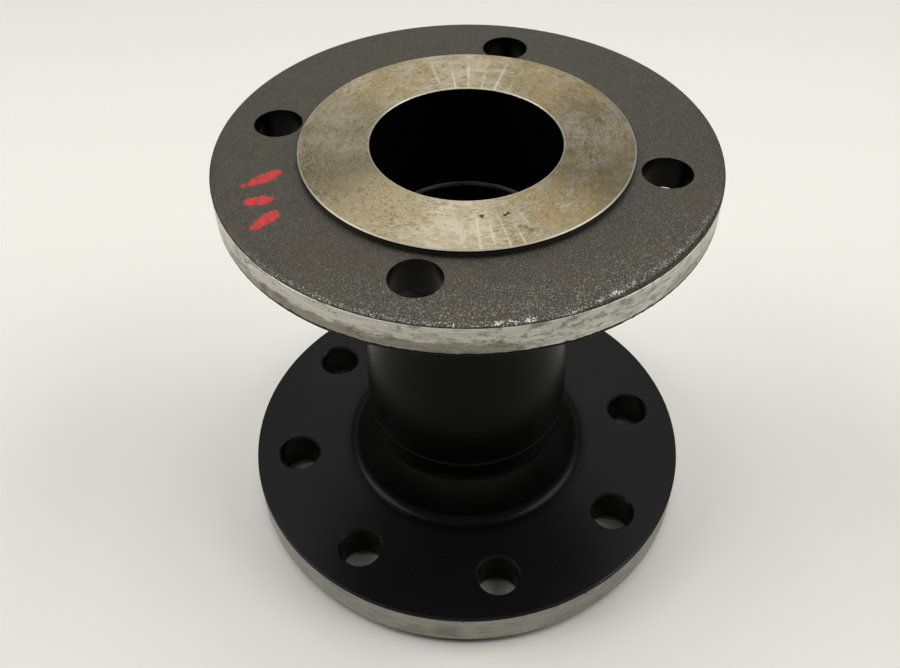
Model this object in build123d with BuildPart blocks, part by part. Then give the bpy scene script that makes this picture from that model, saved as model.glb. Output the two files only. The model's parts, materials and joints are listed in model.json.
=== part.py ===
"""Flanged reducing spool piece, DN 80 to DN 65, for nominal pressure 16.

Two forged weld-neck flanges are butt-welded to the ends of a concentric reducer.
It stands on the contact face of the large flange, with +Z along the pipe's axis
and the origin at the centre of that face. All sizes are in millimetres.
"""

import os
from dataclasses import dataclass
from math import radians, tan

from build123d import *


@dataclass(frozen=True)
class PipeEnd:
    """Outside diameter and wall of the pipe that an end is made for."""

    diameter: float
    wall: float

    @property
    def radius(self):
        return self.diameter / 2

    @property
    def bore_radius(self):
        return self.radius - self.wall


@dataclass(frozen=True)
class NeckFlange:
    """Weld-neck flange. Its heights are counted from the contact face."""

    pipe: PipeEnd
    bolt_circle: float
    bolt_count: int
    face_clearance: float  # from the raised face out to the bolt holes
    plate: float  # thickness without the raised face
    length: float  # contact face to weld end
    hole_edge: float  # countersink of a bolt hole at the back of the plate

    @property
    def rim_radius(self):
        return self.bolt_circle / 2 + rim_margin

    @property
    def face_radius(self):
        return self.bolt_circle / 2 - bolt_hole / 2 - self.face_clearance

    @property
    def hub_radius(self):
        return self.pipe.radius + hub_growth

    @property
    def back(self):
        return face_height + self.plate


# Flanges
large = NeckFlange(
    pipe=PipeEnd(diameter=88.9, wall=3.2),
    bolt_circle=160.0,
    bolt_count=8,
    face_clearance=2.0,
    plate=17.0,
    length=50.0,
    hole_edge=0.9,
)
small = NeckFlange(
    pipe=PipeEnd(diameter=76.1, wall=2.9),
    bolt_circle=145.0,
    bolt_count=4,
    face_clearance=2.5,
    plate=13.0,
    length=45.0,
    hole_edge=0.2,
)
bolt_hole = 18.0  # for M16 bolts
rim_margin = 20.0  # from the bolt circle out to the rim
face_height = 3.0  # raised contact face above the plate
hub_growth = 8.0  # from the pipe out to where the hub leaves the back of the plate
hub_fillet = 5.0
neck_straight = 7.0  # plain neck between the hub's taper and the weld
neck_blend = 12.0  # radius where the hub's taper runs into the plain neck
shoulder_width = 2.4  # what the turned rim leaves of the forging's round corner
shoulder_drop = 0.9
back_edge = 0.8  # rounding of the rim at the back of the plate
turned_edge = 0.4  # chamfer of the raised face and of the mouth of the bore

# Reducer
reducer_length = 90.0
reducer_straight = 8.0  # plain pipe at each end

# Butt welds
root_gap = 0.6
root_face = 1.2  # square land at the bottom of the bevel
bevel_angle = 30.0
cap_overlap = 0.5  # how far the cap runs out past the bevel
cap_height = 0.4
root_overlap = 0.8
root_height = 0.2

# Heights along the axis
reducer_low = large.length + root_gap
reducer_high = reducer_low + reducer_length
overall_length = reducer_high + root_gap + small.length
large_weld_middle = reducer_low - root_gap / 2
small_weld_middle = reducer_high + root_gap / 2

# Section planes: across is the radius, up is away from the flange's contact face
large_section = Plane.XZ
small_section = Plane(origin=(0, 0, overall_length), x_dir=(1, 0, 0), z_dir=(0, 1, 0))


def bevel_run(pipe):
    """How far the weld bevel of a pipe end reaches along the pipe."""
    return (pipe.wall - root_face) * tan(radians(bevel_angle))


def flange_section(size, plane):
    """Half section of a flange, from its bore out to its rim."""
    bore = size.pipe.bore_radius
    neck = size.pipe.radius
    hub = size.hub_radius
    face = size.face_radius
    rim = size.rim_radius
    neck_start = size.length - neck_straight

    with BuildSketch(plane) as section:
        with BuildLine():
            shoulder = TangentArc(
                (rim - shoulder_width, face_height),
                (rim, face_height + shoulder_drop),
                tangent=(1, 0),
            )
            Polyline(
                shoulder @ 1,
                (rim, size.back),
                (hub, size.back),
                (neck, neck_start),
                (neck, size.length - bevel_run(size.pipe)),
                (bore + root_face, size.length),
                (bore, size.length),
                (bore, 0),
                (face, 0),
                (face, face_height),
                shoulder @ 0,
            )
        make_face()
        fillet(section.vertices().sort_by_distance((hub, size.back))[0], hub_fillet)
        fillet(section.vertices().sort_by_distance((neck, neck_start))[0], neck_blend)
        fillet(section.vertices().sort_by_distance((rim, size.back))[0], back_edge)
        chamfer(section.vertices().sort_by_distance((face, 0))[0], turned_edge)
        chamfer(section.vertices().sort_by_distance((bore, 0))[0], turned_edge)
    return section.sketch


def drill_bolt_holes(size, back_plane):
    """Bolt circle drilled from the back of the plate, astride the X and Y axes."""
    with Locations(back_plane):
        with PolarLocations(size.bolt_circle / 2, size.bolt_count, start_angle=180 / size.bolt_count):
            CounterSinkHole(
                radius=bolt_hole / 2,
                counter_sink_radius=bolt_hole / 2 + size.hole_edge,
                counter_sink_angle=90,
            )


def reducer_wall(low_end, high_end):
    """One side of the reducer's section: plain pipe, two equal tangent arcs, plain pipe."""
    curve_low = Vector(low_end[0], reducer_low + reducer_straight)
    curve_high = Vector(high_end[0], reducer_high - reducer_straight)
    middle = (curve_low + curve_high) / 2
    Line(low_end, curve_low)
    leaning_in = TangentArc(curve_low, middle, tangent=(0, 1))
    TangentArc(middle, curve_high, tangent=leaning_in % 1)
    Line(curve_high, high_end)


def weld_section(pipe, middle):
    """Weld between two bevelled pipe ends, with its cap outside and its root in the bore."""
    half_gap = root_gap / 2
    half_bevel = half_gap + bevel_run(pipe)
    with BuildSketch(Plane.XZ.shift_origin((0, 0, middle))) as section:
        with BuildLine():
            cap = TangentArc(
                (pipe.radius + cap_height, 0),
                (pipe.radius, half_bevel + cap_overlap),
                tangent=(0, 1),
            )
            root = TangentArc(
                (pipe.bore_radius - root_height, 0),
                (pipe.bore_radius, half_gap + root_overlap),
                tangent=(0, 1),
            )
            Polyline(
                cap @ 1,
                (pipe.radius, half_bevel),
                (pipe.bore_radius + root_face, half_gap),
                (pipe.bore_radius, half_gap),
                root @ 1,
            )
            mirror(about=Plane.XZ)
        make_face()
    return section.sketch


# Large flange, at the foot
with BuildPart() as large_flange:
    revolve(flange_section(large, large_section))
    drill_bolt_holes(large, Plane.XY.offset(large.back))

# Small flange, upside down at the top
with BuildPart() as small_flange:
    revolve(flange_section(small, small_section))
    drill_bolt_holes(small, -Plane.XY.offset(overall_length - small.back))

# Concentric reducer between them
with BuildPart() as reducer:
    with BuildSketch(Plane.XZ):
        with BuildLine():
            low_bevel = reducer_low + bevel_run(large.pipe)
            high_bevel = reducer_high - bevel_run(small.pipe)
            reducer_wall((large.pipe.radius, low_bevel), (small.pipe.radius, high_bevel))
            reducer_wall(
                (large.pipe.bore_radius, reducer_low),
                (small.pipe.bore_radius, reducer_high),
            )
            Polyline(
                (large.pipe.radius, low_bevel),
                (large.pipe.bore_radius + root_face, reducer_low),
                (large.pipe.bore_radius, reducer_low),
            )
            Polyline(
                (small.pipe.radius, high_bevel),
                (small.pipe.bore_radius + root_face, reducer_high),
                (small.pipe.bore_radius, reducer_high),
            )
        make_face()
    revolve()

# Welds
with BuildPart() as large_weld:
    revolve(weld_section(large.pipe, large_weld_middle))

with BuildPart() as small_weld:
    revolve(weld_section(small.pipe, small_weld_middle))

large_flange.part.label = "large_flange"
small_flange.part.label = "small_flange"
reducer.part.label = "reducer"
large_weld.part.label = "large_weld"
small_weld.part.label = "small_weld"

os.makedirs("parts", exist_ok=True)
export_step(large_flange.part, "parts/large_flange.step")
export_step(small_flange.part, "parts/small_flange.step")
export_step(reducer.part, "parts/reducer.step")
export_step(large_weld.part, "parts/large_weld.step")
export_step(small_weld.part, "parts/small_weld.step")
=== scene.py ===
"""Looks of the flanged reducing spool piece: forging skin, turned steel, black paint and light."""

import json
from math import cos, pi, radians, sin

import bpy
from mathutils import Matrix, Vector


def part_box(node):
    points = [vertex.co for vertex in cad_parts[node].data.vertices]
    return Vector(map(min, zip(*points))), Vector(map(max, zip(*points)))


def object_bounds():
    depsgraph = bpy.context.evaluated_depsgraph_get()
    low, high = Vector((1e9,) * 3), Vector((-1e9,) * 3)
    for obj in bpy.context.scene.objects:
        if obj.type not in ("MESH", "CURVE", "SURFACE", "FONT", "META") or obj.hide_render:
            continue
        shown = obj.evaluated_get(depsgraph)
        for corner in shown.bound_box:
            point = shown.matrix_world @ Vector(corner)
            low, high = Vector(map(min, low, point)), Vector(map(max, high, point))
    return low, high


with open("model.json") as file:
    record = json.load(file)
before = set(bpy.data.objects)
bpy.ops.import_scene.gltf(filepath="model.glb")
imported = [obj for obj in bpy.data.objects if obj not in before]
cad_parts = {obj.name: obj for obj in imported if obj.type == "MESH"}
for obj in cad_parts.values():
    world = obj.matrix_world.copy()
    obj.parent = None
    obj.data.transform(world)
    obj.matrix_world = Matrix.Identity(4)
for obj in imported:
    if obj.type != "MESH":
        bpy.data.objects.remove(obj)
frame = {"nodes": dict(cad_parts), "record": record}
cad_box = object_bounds()

MM = 0.001

# Sizes of the part, from its mounts and its own boxes
mounts = {mount["name"]: mount for mount in frame["record"]["mounts"]}
top_bolts = mounts["small_bolt_circle"]["dims"]
top_height = cad_box[1][2]
top_plate_height = mounts["small_bolt_circle"]["pos_m"][2]
top_rim_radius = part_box("small_flange")[1][0]
top_bore_radius = mounts["small_bore"]["dims"]["r_mm"] * MM
top_hole_radius = top_bolts["hole_r_mm"] * MM
top_hole_offset = top_bolts["pcd_mm"] * MM / 2 ** 1.5  # in x and in y, as the holes are on diagonals
foot_rim_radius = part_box("large_flange")[1][0]
foot_bore_radius = mounts["large_bore"]["dims"]["r_mm"] * MM

# Sizes that the mounts leave out
top_face_radius = 61.0 * MM
top_plate_back = top_height - 16.0 * MM
foot_plate_back = 20.0 * MM
foot_hub_radius = 52.5 * MM

# Where one finish ends and the next begins
skin_turn_down = 1.3 * MM  # the skin goes over the shoulder to this far below the plate
black_lip = 1.0 * MM  # the top of the raised face's wall is black, to this far below the face
skin_to_bore = 5.0 * MM  # no skin is nearer to the bore than this
hub_paint_reach = 5.0 * MM  # the hub's paint runs out this far over the foot plate
top_paint_edge = 1.6 * MM  # paint comes up the top rim by this much
foot_paint_edge = 1.3 * MM  # paint comes down the foot rim by this much

# Parts of the circle, each as its start, end and soft edge in degrees
glinting_arc = (-154, -60, 50)  # more painted glint in the skin, on the side that faces the camera
sparkle_row_arc = (-166, -52, 24)  # a row of dark specks and painted sparkle highlight along the shoulder
broad_row_arc = (-94, -60, 24)  # the shoulder row lies farther from the rim and is wider, and so is the dark crease
bright_sparkle_arc = (-128, -88, 10)  # more and brighter painted sparkle
# arcs where the chatter lines carry painted highlight
far_chatter_highlight_arc = (32, 78, 20)
near_chatter_highlight_arc = (-122, -96, 10)
rim_scratch_arc = (-92, -60, 16)
top_stain_arc = (-168, -111, 9)
foot_stain_arc = (-130, -123.5, 4)
# painted shade on the foot rim
foot_shaded_arc = (-96, -20, 24)

# Arcs of painted shade on the turned faces, and how strong each is
shaded_arcs = (
    ((-102, -50, 30), 1.0),
    ((-8, 40, 30), 1.0),
    ((78, 125, 30), 0.7),
    ((163, -148, 24), 1.5),
)

# Marks on the turned faces: radius in mm and direction in degrees, and sizes in mm
face_pits = ((43.9, -115.9), (44.9, -105.6), (44.3, -104.2))
face_rust = ((52.0, -102.6), (55.0, -99.6), (53.0, -101.0))
pit_size = 0.75
rust_size = 0.9

# Red dabs on the top plate: radius, direction, length, width and lean, in mm and degrees
red_dabs = (
    (74.0, 162.5, 14.0, 4.8, 4.0),
    (77.5, 171.5, 9.5, 4.6, -20.0),
    (79.0, 179.5, 13.0, 5.2, 20.0),
)

# Marks of the lathe: pitch of its grooves, and how many chatter lines a full turn would hold
groove_pitch = 0.8 * MM
far_chatter_lines = 45
near_chatter_lines = 76

# Black paint: its gloss in each place, and its blacks
top_gloss = 0.07
pipe_gloss = 0.075
hub_gloss = 0.1
foot_plate_gloss = 0.15
deep_black = (0.0015, 0.0015, 0.0015, 1)
foot_plate_black = (0.004, 0.004, 0.004, 1)
paint_speck = (0.03, 0.03, 0.028, 1)

# Forging skin
skin_hollow = (0.007, 0.006, 0.0034, 1)
skin_grain = (0.096, 0.086, 0.057, 1)
skin_pit = (0.02, 0.018, 0.0125, 1)
skin_brown = (0.05, 0.041, 0.024, 1)
# painted highlight for glinting specks in the skin
skin_painted_glint = (0.25, 0.243, 0.195, 1)
# painted shade and grime at the foot of the raised face
skin_wall_shade_and_grime = (0.014, 0.0125, 0.0095, 1)
# dark specks and painted sparkle highlight for the row along the shoulder
shoulder_row_dark = (0.008, 0.007, 0.005, 1)
shoulder_painted_sparkle = (0.8, 0.79, 0.71, 1)
crease_hollow = (0.006, 0.005, 0.003, 1)
crease_grain = (0.05, 0.044, 0.03, 1)

# Turned faces
face_steel = (0.39, 0.357, 0.278, 1)
face_tarnish = (0.25, 0.196, 0.11, 1)
# painted shade for the turned faces
face_painted_shade = (0.185, 0.16, 0.1, 1)
# painted light for the paler side of the turned faces
face_painted_light = (0.53, 0.465, 0.31, 1)
face_gold = (0.29, 0.218, 0.088, 1)
face_blotch = (0.15, 0.11, 0.045, 1)
fleck_dark = (0.13, 0.095, 0.045, 1)
fleck_pale = (0.6, 0.58, 0.48, 1)
groove_dark = (0.12, 0.1, 0.07, 1)
# painted highlight for the chatter lines
chatter_painted_highlight = (0.75, 0.74, 0.66, 1)
pit_dark = (0.03, 0.026, 0.02, 1)
rust_brown = (0.15, 0.085, 0.03, 1)
# painted highlight for the edges of the bore and the raised face
edge_painted_highlight = (0.66, 0.64, 0.56, 1)

# Turned rims, and how light each rim is: the foot rim's lower tone is painted shade
rim_grey = (0.44, 0.429, 0.3828, 1)
rim_silver = (0.66, 0.6435, 0.5742, 1)
rim_dirt = (0.12, 0.112, 0.085, 1)
rim_dot = (0.08, 0.07, 0.05, 1)
# brown for stains, and for painted shade on the foot rim
rim_stain_and_shade = (0.15, 0.13, 0.08, 1)
top_rim_tone = 1.0
foot_rim_shaded_tone = 0.6

# Red marking paint, weld root, floor and tent
red_thick = (0.52, 0.02, 0.02, 1)
red_thin = (0.3, 0.016, 0.014, 1)
root_dull = (0.1, 0.1, 0.09, 1)
root_bare = (0.5, 0.49, 0.45, 1)
floor_dark = (0.81, 0.81, 0.745, 1)
floor_pale = (0.84, 0.84, 0.77, 1)
tent_colour = (1.0, 1.0, 0.97, 1)

# The floor, in metres, and the strength of the tent
floor_width = 12.0
floor_fade_radius = 1.25
floor_fade_width = 0.9
tent_in_mirrors = 0.4
tent_on_dull = 0.06
tent_in_view = 0.14  # added to the strength in mirrors, where the camera sees the tent itself

# Soft boxes: name, direction and height in degrees as seen from the part, and watts
soft_boxes = (
    ("overhead", 57, 82, 7.3),
    ("behind", 57, 56, 2.4),
    ("left", 147, 45, 9.8),
    ("right", -33, 45, 10.0),
)
soft_box_width = 0.9
soft_box_distance = 1.4

# The camera: its place in metres, its turns in degrees, its lens and sensor in millimetres
camera_place = (-0.15813, -0.25042, 0.38763)
camera_turn = -30.9
camera_drop = 45.488
camera_roll = -0.975
camera_lens = 38.88
camera_sensor = 36.0


class Field:
    """A number that varies from place to place. Arithmetic on it adds the nodes that work it out."""

    def __init__(self, nodes, socket):
        self.nodes = nodes
        self.socket = socket

    def __add__(self, other):
        return self.nodes.math("ADD", self, other)

    def __radd__(self, other):
        return self.nodes.math("ADD", other, self)

    def __sub__(self, other):
        return self.nodes.math("SUBTRACT", self, other)

    def __rsub__(self, other):
        return self.nodes.math("SUBTRACT", other, self)

    def __mul__(self, other):
        return self.nodes.math("MULTIPLY", self, other)

    def __rmul__(self, other):
        return self.nodes.math("MULTIPLY", other, self)

    def __truediv__(self, other):
        return self.nodes.math("DIVIDE", self, other)

    def __pow__(self, power):
        return self.nodes.math("POWER", self, power)

    def __abs__(self):
        return self.nodes.math("ABSOLUTE", self)

    def above(self, edge, soft):
        """1 where the field is above the edge and 0 below it, over a soft band."""
        sockets = {"Value": self, "From Min": edge - soft / 2, "From Max": edge + soft / 2}
        return self.nodes.field("ShaderNodeMapRange", {"interpolation_type": "SMOOTHSTEP"}, sockets)

    def below(self, edge, soft):
        """1 where the field is below the edge and 0 above it, over a soft band."""
        return 1 - self.above(edge, soft)

    def between(self, low, high, soft):
        """1 from low to high and 0 outside, over a soft band at each end."""
        return self.above(low, soft) * self.below(high, soft)

    def wave(self):
        """Sine of the field, which is an angle in radians."""
        return self.nodes.math("SINE", self)


class Nodes:
    """A tree of nodes, and the one way in which nodes are added to it."""

    def __init__(self, tree):
        self.tree = tree
        self.tree.nodes.clear()

    def node(self, kind, settings=None, inputs=None):
        """A node of any type, with its settings first and then its sockets' values or links."""
        node = self.tree.nodes.new(kind)
        for name, value in (settings or {}).items():
            setattr(node, name, value)
        for name, value in (inputs or {}).items():
            if isinstance(value, Field):
                value = value.socket
            if isinstance(value, bpy.types.NodeSocket):
                self.tree.links.new(value, node.inputs[name])
            else:
                node.inputs[name].default_value = value
        return node

    def field(self, kind, settings=None, inputs=None):
        """The first output of a node, as a field."""
        return Field(self, self.node(kind, settings, inputs).outputs[0])

    def math(self, operation, *values):
        """One step of arithmetic on fields and numbers."""
        return self.field("ShaderNodeMath", {"operation": operation}, dict(enumerate(values)))


class Finish(Nodes):
    """A material and the fields that its look is made of, all in the part's own coordinates."""

    def __init__(self, name):
        self.material = bpy.data.materials.new(name)
        self.material.use_nodes = True
        super().__init__(self.material.node_tree)
        self.place = self.node("ShaderNodeTexCoord").outputs["Object"]
        axes = self.node("ShaderNodeSeparateXYZ", inputs={"Vector": self.place})
        self.x, self.y, self.z = (Field(self, axes.outputs[axis]) for axis in "XYZ")
        self.radius = (self.x * self.x + self.y * self.y) ** 0.5
        self.angle = self.math("ARCTAN2", self.y, self.x)

    def stretched(self, across, along):
        """The part's coordinates, with their own scale across the axis and along it."""
        sockets = {"Vector": self.place, "Scale": (across, across, along)}
        return self.node("ShaderNodeMapping", {"vector_type": "POINT"}, sockets).outputs[0]

    def around(self, along, across):
        """Coordinates that run along the circles about the axis and across them, each with its scale."""
        arm = 60 * MM * along  # the scale along the circles is true at this radius
        turn_x, turn_y = self.x / self.radius, self.y / self.radius
        sockets = {"X": turn_x * arm, "Y": turn_y * arm, "Z": self.radius * across}
        return self.node("ShaderNodeCombineXYZ", inputs=sockets).outputs[0]

    def sector(self, start, end, soft):
        """1 from one direction anticlockwise to another, in degrees, over a soft band at each end."""
        start, end, soft = radians(start), radians(end), radians(soft)
        if start > end:
            return self.angle.above(start, soft) + self.angle.below(end, soft)
        return self.angle.between(start, end, soft)

    def distance_to(self, radius, direction):
        """Distance across the axis from a spot given by its radius in mm and direction in degrees."""
        spot_x, spot_y = radius * MM * cos(radians(direction)), radius * MM * sin(radians(direction))
        return ((self.x - spot_x) ** 2 + (self.y - spot_y) ** 2) ** 0.5

    def noise(self, size, detail=2.0, rough=0.5, place=None, seed=0.0):
        """Noise about 0.5, with patches of about the given size in metres."""
        sockets = {
            "Vector": place or self.place,
            "W": seed,
            "Scale": 1.0 / size,
            "Detail": detail,
            "Roughness": rough,
        }
        return self.field("ShaderNodeTexNoise", {"noise_dimensions": "4D"}, sockets)

    def mix(self, amount, under, over):
        """The colour under, changing to the colour over as the amount goes from 0 to 1."""
        settings = {"data_type": "RGBA"}
        return self.node("ShaderNodeMix", settings, {0: amount, 6: under, 7: over}).outputs[2]

    def bump(self, height, distance, normal=None):
        """A normal that is tilted by a height field, which spans the given distance in metres."""
        sockets = {"Height": height, "Distance": distance, "Strength": 1.0}
        if normal:
            sockets["Normal"] = normal
        return self.node("ShaderNodeBump", inputs=sockets).outputs[0]

    def shader(self, inputs):
        """One surface, with the given values and links."""
        return self.node("ShaderNodeBsdfPrincipled", inputs=inputs).outputs[0]

    def blend(self, amount, under, over):
        """One surface changing to another as the amount goes from 0 to 1."""
        return self.node("ShaderNodeMixShader", inputs={0: amount, 1: under, 2: over}).outputs[0]

    def done(self, shader):
        """The material, which now shows the given surface."""
        self.node("ShaderNodeOutputMaterial", inputs={"Surface": shader})
        return self.material


def black_paint(finish, gloss, black=deep_black):
    """Matt black paint over steel that keeps the grain of its forging."""
    grain = finish.noise(0.9 * MM, detail=3)
    waves = finish.noise(9 * MM)
    specks = finish.noise(1.1 * MM, detail=1, seed=3.0).above(0.76, 0.04)
    return finish.shader(
        {
            "Base Color": finish.mix(specks, black, paint_speck),
            "Roughness": 0.25 + 0.1 * finish.noise(14 * MM),
            "Specular IOR Level": gloss,
            "Normal": finish.bump(grain * 0.4 + waves, 0.06 * MM),
        }
    )


def shoulder_sparkle_row(finish, colour, inward, broad):
    """A row of dark specks and painted sparkle highlights along the shoulder: its colour over the one
    given, and its roughness as a height.
    """
    row = inward.between((0.2 + 1.3 * broad) * MM, (2.2 + 1.6 * broad) * MM, 1.4 * MM)
    in_row = finish.sector(*sparkle_row_arc) * row
    extra_sparkle = finish.noise(5 * MM, detail=2, seed=21.0).above(0.58, 0.1) * finish.sector(*bright_sparkle_arc)
    sparkle = finish.noise(0.5 * MM, detail=2, rough=0.7, seed=12.0)
    colour = finish.mix(in_row * sparkle.below(0.45, 0.1) * 0.8, colour, shoulder_row_dark)
    # Painted highlights: white sparkle in the row, more and brighter within one arc
    bright = in_row * sparkle.above(0.58 - 0.07 * extra_sparkle, 0.1) * (0.5 + 0.5 * extra_sparkle)
    return finish.mix(bright, colour, shoulder_painted_sparkle), in_row * sparkle


def dark_crease(finish, grain):
    """Dull dark skin at the very edge of the plate."""
    colour = finish.mix(grain.above(0.56, 0.14), crease_hollow, crease_grain)
    return finish.shader({"Base Color": colour, "Roughness": 0.5, "Specular IOR Level": 0.12})


def forged_skin(finish):
    """Blasted grey-brown forging skin: fine painted glint specks, painted sparkle along the shoulder,
    painted shade and grime by the raised face, and a dark crease at the rim.
    """
    grain = finish.noise(0.55 * MM, detail=3, rough=0.7)
    pits = finish.noise(2.6 * MM, detail=3, rough=0.6, seed=5.0)
    cloud = finish.noise(18 * MM, detail=3, seed=2.0)
    colour = finish.mix(grain.above(0.51, 0.13), skin_hollow, skin_grain)
    colour = finish.mix(pits.above(0.52, 0.2) * 0.45, colour, skin_pit)
    colour = finish.mix(cloud.above(0.52, 0.3) * 0.4, colour, skin_brown)
    # Painted highlights: glinting specks in the skin's colour, more of them over the outer plate on the
    # side that faces the camera
    glinting_side = finish.sector(*glinting_arc) * finish.radius.above(74 * MM, 30 * MM)
    painted_glints = finish.noise(0.5 * MM, detail=1, seed=9.0).above(0.67 - 0.05 * glinting_side, 0.08)
    colour = finish.mix(painted_glints * (0.45 + 0.5 * glinting_side), colour, skin_painted_glint)

    broad = finish.sector(*broad_row_arc)
    uneven = (finish.noise(6 * MM, detail=4, rough=0.6, seed=18.0) - 0.5) * 3.0 * MM
    inward = top_rim_radius - finish.radius
    colour, gravel = shoulder_sparkle_row(finish, colour, inward + uneven, broad)
    # Painted shade and grime: the skin darkens along the foot of the raised face and up its wall
    wall_shade_and_grime = finish.radius.below(top_face_radius + 0.6 * MM, 1.2 * MM)
    colour = finish.mix(wall_shade_and_grime * 0.55, colour, skin_wall_shade_and_grime)
    normal = finish.bump(grain + pits * 0.8, 0.22 * MM)
    skin = finish.shader(
        {
            "Base Color": colour,
            "Metallic": 0.3 + 0.6 * painted_glints,
            "Roughness": 0.42,
            "Normal": finish.bump(gravel, 0.4 * MM, normal),
        }
    )
    creased = (inward + uneven * 0.3).below((0.5 + 1.3 * broad) * MM, (0.5 + 0.8 * broad) * MM)
    return finish.blend(creased * 0.85, skin, dark_crease(finish, grain))


def tarnished_steel(finish):
    """Colour of turned steel under yellow-brown clouds of tarnish, with painted shade in arcs and painted
    light on one side, and how tarnished each place is.
    """
    cloud = finish.noise(11 * MM, detail=6, rough=0.72)
    bands = finish.noise(1.6 * MM, detail=4, rough=0.7, place=finish.around(0.14, 1.0), seed=1.0)
    # Painted shade: these arcs darken the face and add a little to its tarnish
    dull = sum(finish.sector(*arc) * amount for arc, amount in shaded_arcs)
    tarnish = (cloud * 0.65 + bands * 0.35 + dull * 0.09).above(0.53, 0.19)
    colour = finish.mix(tarnish, face_steel, face_tarnish)
    colour = finish.mix(dull * 0.4, colour, face_painted_shade)
    # Painted light: the face is paler towards -x
    lit_side = finish.x.below(-15 * MM, 70 * MM)
    colour = finish.mix(lit_side * 0.35, colour, face_painted_light)
    golden = finish.noise(12 * MM, detail=5, rough=0.65, seed=26.0).above(0.54, 0.14)
    return finish.mix(golden * 0.4, colour, face_gold), tarnish


def chatter(finish, lines, arc):
    """Thin lines out from the axis within an arc, so many to a full turn."""
    waves = (finish.angle * lines + 2.0 * finish.noise(30 * MM)).wave()
    return waves.above(0.86, 0.28) * finish.sector(*arc)


def spots(finish, places, size):
    """Ragged spots of about the given size in mm, at places given by radius in mm and direction."""
    ragged = (finish.noise(1.2 * MM, detail=3, rough=0.7, seed=14.0) - 0.5) * 2.4 * MM
    return sum((finish.distance_to(*place) + ragged).below(size * MM, 0.5 * MM) for place in places)


def turned_face(finish):
    """Bare turned face: tarnished steel with painted light and shade, flecks, feed grooves, chatter and
    edges with painted highlights, and pits.
    """
    colour, tarnish = tarnished_steel(finish)
    flecked = finish.noise(15 * MM, detail=2, seed=22.0).above(0.47, 0.2)
    flecks = finish.noise(0.85 * MM, detail=4, rough=0.75, place=finish.around(0.45, 1.0), seed=8.0)
    colour = finish.mix(flecks.above(0.56, 0.08) * (0.15 + 0.5 * flecked), colour, fleck_dark)
    colour = finish.mix(flecks.below(0.4, 0.08) * 0.3, colour, fleck_pale)
    blotches = finish.noise(4.5 * MM, detail=6, rough=0.75, seed=7.0).above(0.6, 0.1)
    colour = finish.mix(blotches * 0.55, colour, face_blotch)

    grooves = (finish.radius * (2 * pi / groove_pitch) + finish.angle).wave()
    kept = finish.noise(14 * MM, seed=13.0).above(0.5, 0.2) * finish.radius.above(48 * MM, 12 * MM)
    colour = finish.mix(grooves.above(0.3, 1.0) * kept * 0.22, colour, groove_dark)
    # Painted highlights: bright chatter lines, only within two arcs
    reach = finish.noise(6 * MM, detail=2, seed=4.0).above(0.45, 0.4)
    far = chatter(finish, far_chatter_lines, far_chatter_highlight_arc) * finish.radius.below(53 * MM, 10 * MM)
    near = chatter(finish, near_chatter_lines, near_chatter_highlight_arc) * finish.radius.above(45 * MM, 10 * MM)
    colour = finish.mix((far + near) * reach * 0.3, colour, chatter_painted_highlight)

    pits = spots(finish, face_pits, pit_size)
    colour = finish.mix(pits, colour, pit_dark)
    colour = finish.mix(spots(finish, face_rust, rust_size) * 0.7, colour, rust_brown)
    # Painted highlights: bright rings at the edges of the bore and of the raised face
    inner_edge = finish.radius.below(top_bore_radius + 0.5 * MM, 0.3 * MM)
    edges = inner_edge + finish.radius.above(top_face_radius - 0.45 * MM, 0.3 * MM)
    colour = finish.mix(edges * 0.6, colour, edge_painted_highlight)

    normal = finish.bump(grooves * 0.5, 0.006 * MM)
    normal = finish.bump(flecks, 0.025 * MM, normal)
    return finish.shader(
        {
            "Base Color": colour,
            "Metallic": 1.0 - 0.6 * pits - 0.35 * edges,
            "Roughness": 0.42 + 0.1 * tarnish,
            "Anisotropic": 0.85,
            "Anisotropic Rotation": 0.25,
            "Normal": finish.bump(pits * -1.0, 0.15 * MM, normal),
        }
    )


def toned(colour, tone):
    """A colour made darker by a tone below 1."""
    return (colour[0] * tone, colour[1] * tone, colour[2] * tone, 1)


def turned_rim(finish, stain, tone):
    """Bare turned rim: pale silver with level streaks and dirty smears, brown where it is stained or
    carries painted shade.
    """
    streaks = finish.noise(0.6 * MM, detail=3, rough=0.6, place=finish.stretched(0.05, 1.3))
    # A tone below 1 darkens the whole rim with painted shade
    colour = finish.mix(streaks.above(0.5, 0.4), toned(rim_grey, tone), toned(rim_silver, tone))
    dirt = toned(rim_dirt, tone)
    smears = finish.noise(2.4 * MM, detail=6, rough=0.78, place=finish.stretched(0.5, 1.0), seed=5.0)
    dirty = finish.noise(20 * MM, detail=2, seed=23.0).above(0.45, 0.25)
    smeared = smears.above(0.57 - 0.03 * dirty, 0.12) * (0.3 + 0.4 * dirty) * tone ** 2
    colour = finish.mix(smeared, colour, dirt)
    scratches = finish.noise(1.0 * MM, detail=5, rough=0.75, place=finish.stretched(0.18, 0.8), seed=24.0)
    scratched = finish.sector(*rim_scratch_arc) * scratches.above(0.55, 0.14)
    colour = finish.mix(scratched * 0.5, colour, dirt)
    dots = finish.noise(1.1 * MM, detail=2, seed=19.0).above(0.7, 0.05)
    colour = finish.mix(dots * 0.6, colour, rim_dot)
    return finish.shader(
        {
            # The stain amount also carries the foot rim's painted shade
            "Base Color": finish.mix(stain, colour, rim_stain_and_shade),
            "Metallic": 0.9,
            "Roughness": 0.45 + 0.15 * stain,
            "Anisotropic": 0.5,
            "Anisotropic Rotation": 0.25,
            "Normal": finish.bump(streaks + smears, 0.015 * MM),
        }
    )


def at_rim(finish, rim_radius):
    """Where the surface is a rim, out at the given radius."""
    return finish.radius.above(rim_radius - 0.12 * MM, 0.08 * MM)


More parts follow.
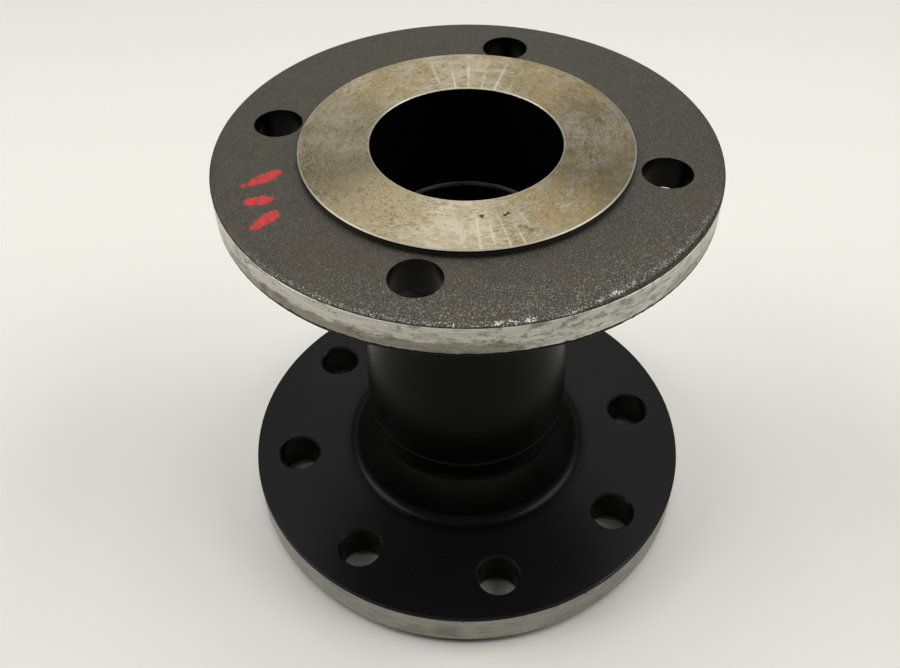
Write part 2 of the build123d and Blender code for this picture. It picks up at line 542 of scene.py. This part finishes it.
def dab_distance(finish, radius, direction, length, width, lean):
    """Distance from the middle of a dab, which is 1 at the dab's edge."""
    along_x, along_y = cos(radians(lean)), sin(radians(lean))
    off_x = finish.x - radius * MM * cos(radians(direction))
    off_y = finish.y - radius * MM * sin(radians(direction))
    along = (off_x * along_x + off_y * along_y) / (length * MM / 2)
    across = (off_y * along_x - off_x * along_y) / (width * MM / 2)
    return (along ** 2 + across ** 2) ** 0.5


def red_dab_area(finish):
    """Where the plain dabs of red marking paint are on the top plate."""
    ragged = (finish.noise(2.6 * MM, detail=4, rough=0.65, seed=15.0) - 0.5) * 2.0
    dabs = sum((dab_distance(finish, *dab) + ragged).below(1.0, 0.35) for dab in red_dabs)
    return dabs * finish.z.between(top_plate_height - 1 * MM, top_height - 1 * MM, 0.2 * MM)


def red_paint(finish):
    """Red marking paint, darker where it is thin."""
    thin = finish.noise(1.8 * MM, detail=4, rough=0.7, seed=25.0).above(0.5, 0.3)
    return finish.shader({"Base Color": finish.mix(thin, red_thick, red_thin), "Roughness": 0.6})


def top_skin_area(finish):
    """Where the top flange keeps its forging skin: over the plate, outside the holes and the bore."""
    over_plate = finish.z.between(top_plate_height - skin_turn_down, top_height - black_lip, 0.2 * MM)
    from_hole = (abs(finish.x) - top_hole_offset) ** 2 + (abs(finish.y) - top_hole_offset) ** 2
    outside_holes = (from_hole ** 0.5).above(top_hole_radius + 0.15 * MM, 0.1 * MM)
    return over_plate * outside_holes * finish.radius.above(top_bore_radius + skin_to_bore, 1 * MM)


def top_face_area(finish):
    """Where the top flange is turned flat, with nicks along the edge of the bore."""
    nicked = finish.radius - finish.noise(0.6 * MM, detail=3, seed=11.0) * 0.3 * MM
    outside_bore = nicked.above(top_bore_radius - 0.1 * MM, 0.05 * MM)
    return finish.z.above(top_height - 0.5 * MM, 0.1 * MM) * outside_bore


def top_rim_area(finish):
    """Where the top rim is bare, down to the ragged edge of the paint."""
    ragged = finish.noise(2.2 * MM, detail=5, rough=0.7, seed=6.0)
    height = finish.z + (ragged - 0.5) * 1.6 * MM
    return at_rim(finish, top_rim_radius) * height.above(top_plate_back + top_paint_edge, 0.1 * MM)


def top_rim_stain(finish):
    """Brown stain along the lower side of the top rim."""
    mottle = finish.noise(4 * MM, detail=6, rough=0.72, place=finish.stretched(0.5, 1.0), seed=2.0)
    low_side = (finish.z - mottle * 12 * MM).below(top_plate_back - 0.2 * MM, 2 * MM)
    patches = finish.noise(34 * MM, seed=16.0).above(0.56, 0.1) * 0.7
    return low_side * (finish.sector(*top_stain_arc) + patches) * 0.62


def top_flange_finish():
    """Paint below and in the holes, skin and red dabs on the plate, and bare turned face and rim."""
    finish = Finish("top_flange_finish")
    shader = finish.blend(top_skin_area(finish), black_paint(finish, top_gloss), forged_skin(finish))
    shader = finish.blend(red_dab_area(finish), shader, red_paint(finish))
    shader = finish.blend(top_face_area(finish), shader, turned_face(finish))
    rim = turned_rim(finish, top_rim_stain(finish), top_rim_tone)
    return finish.done(finish.blend(top_rim_area(finish), shader, rim))


def foot_rim_area(finish):
    """Where the foot rim is bare, up to the ragged edge of the paint, with a few runs down it."""
    ragged = finish.noise(1.6 * MM, detail=4, rough=0.7, seed=6.0)
    runs = finish.noise(7 * MM, detail=1, seed=17.0).above(0.66, 0.06)
    height = finish.z + (ragged - 0.5) * 0.6 * MM + runs * 0.9 * MM
    return at_rim(finish, foot_rim_radius) * height.below(foot_plate_back - foot_paint_edge, 0.1 * MM)


def foot_rim_stain_and_shade(finish):
    """Faint patches of stain on the foot rim, one darker spot, and painted shade on one side."""
    patches = finish.noise(6 * MM, detail=4, place=finish.stretched(0.4, 1.0), seed=2.0).above(0.6, 0.2)
    spot = finish.sector(*foot_stain_arc) * finish.z.between(6 * MM, 15 * MM, 6 * MM)
    return patches * 0.3 + spot * 0.5 + finish.sector(*foot_shaded_arc) * 0.1


def foot_flange_finish():
    """Paint on the plate and hub, and bare turned rim and under face."""
    finish = Finish("foot_flange_finish")
    plate = finish.radius.above(foot_hub_radius + hub_paint_reach, 6 * MM)
    plate_paint = black_paint(finish, foot_plate_gloss, foot_plate_black)
    shader = finish.blend(plate, black_paint(finish, hub_gloss), plate_paint)
    under_face = finish.z.below(0.2 * MM, 0.1 * MM) * finish.radius.above(foot_bore_radius, 0.1 * MM)
    shader = finish.blend(under_face, shader, turned_face(finish))
    rim = turned_rim(finish, foot_rim_stain_and_shade(finish), foot_rim_shaded_tone)
    return finish.done(finish.blend(foot_rim_area(finish), shader, rim))


def pipe_finish():
    """Paint all over."""
    finish = Finish("pipe_paint")
    return finish.done(black_paint(finish, pipe_gloss))


def weld_finish(name, bore_radius):
    """Paint outside, and the root of the weld left as bare dull steel in the bore."""
    finish = Finish(name)
    root = finish.radius.below(bore_radius + 0.3 * MM, 0.2 * MM)
    bare = finish.noise(9 * MM, detail=3, seed=20.0).above(0.42, 0.2)
    colour = finish.mix(bare, root_dull, root_bare)
    steel = finish.shader({"Base Color": colour, "Metallic": 0.5, "Roughness": 0.4})
    return finish.done(finish.blend(root, black_paint(finish, pipe_gloss), steel))


def put_on(node, material):
    """Gives a CAD node its finish."""
    piece = frame["nodes"][node]
    piece.data.materials.clear()
    piece.data.materials.append(material)


def floor():
    """Wide pale floor, which fades into the pale tent far from the part."""
    bpy.ops.object.select_all(action="DESELECT")
    bpy.ops.mesh.primitive_plane_add(size=floor_width)
    piece = bpy.context.object
    piece.name = "floor"
    finish = Finish("pale_floor")
    colour = finish.mix(finish.noise(400 * MM, detail=1), floor_dark, floor_pale)
    near = finish.radius.below(floor_fade_radius, floor_fade_width)
    shader = finish.shader({"Base Color": colour, "Roughness": 0.8, "Alpha": near})
    piece.data.materials.append(finish.done(shader))


def tent():
    """Pale surroundings, faint as light on dull surfaces, brighter in mirrors and brightest in view."""
    world = bpy.data.worlds.new("studio")
    world.use_nodes = True
    nodes = Nodes(world.node_tree)
    rays = nodes.node("ShaderNodeLightPath").outputs
    on_dull, in_view = Field(nodes, rays["Is Diffuse Ray"]), Field(nodes, rays["Is Camera Ray"])
    strength = tent_in_mirrors + (tent_on_dull - tent_in_mirrors) * on_dull + tent_in_view * in_view
    glow = nodes.node("ShaderNodeBackground", inputs={"Color": tent_colour, "Strength": strength})
    nodes.node("ShaderNodeOutputWorld", inputs={"Surface": glow.outputs[0]})
    bpy.context.scene.world = world


def soft_box(name, direction, height_angle, watts):
    """Square lamp that faces the middle of the part."""
    lamp = bpy.data.lights.new(name, "AREA")
    lamp.shape = "SQUARE"
    lamp.size = soft_box_width
    lamp.energy = watts
    holder = bpy.data.objects.new(name, lamp)
    level, height = cos(radians(height_angle)), sin(radians(height_angle))
    way = Vector((level * cos(radians(direction)), level * sin(radians(direction)), height))
    holder.location = Vector((0, 0, top_height / 2)) + way * soft_box_distance
    holder.rotation_euler = way.to_track_quat("Z", "Y").to_euler()
    bpy.context.collection.objects.link(holder)


def camera():
    """Camera that looks down on the part from its front left."""
    lens = bpy.data.cameras.new("camera")
    lens.sensor_width = camera_sensor
    lens.lens = camera_lens
    holder = bpy.data.objects.new("camera", lens)
    turn = Matrix.Rotation(radians(camera_turn), 4, "Z")
    tip = Matrix.Rotation(pi / 2 - radians(camera_drop), 4, "X")
    roll = Matrix.Rotation(radians(camera_roll), 4, "Z")
    holder.matrix_world = Matrix.Translation(camera_place) @ turn @ tip @ roll
    bpy.context.collection.objects.link(holder)
    bpy.context.scene.camera = holder


put_on("small_flange", top_flange_finish())
put_on("large_flange", foot_flange_finish())
put_on("reducer", pipe_finish())
put_on("small_weld", weld_finish("small_weld_finish", top_bore_radius))
put_on("large_weld", weld_finish("large_weld_finish", foot_bore_radius))

floor()
tent()
for box in soft_boxes:
    soft_box(*box)
camera()
bpy.context.scene.view_settings.view_transform = "Standard"
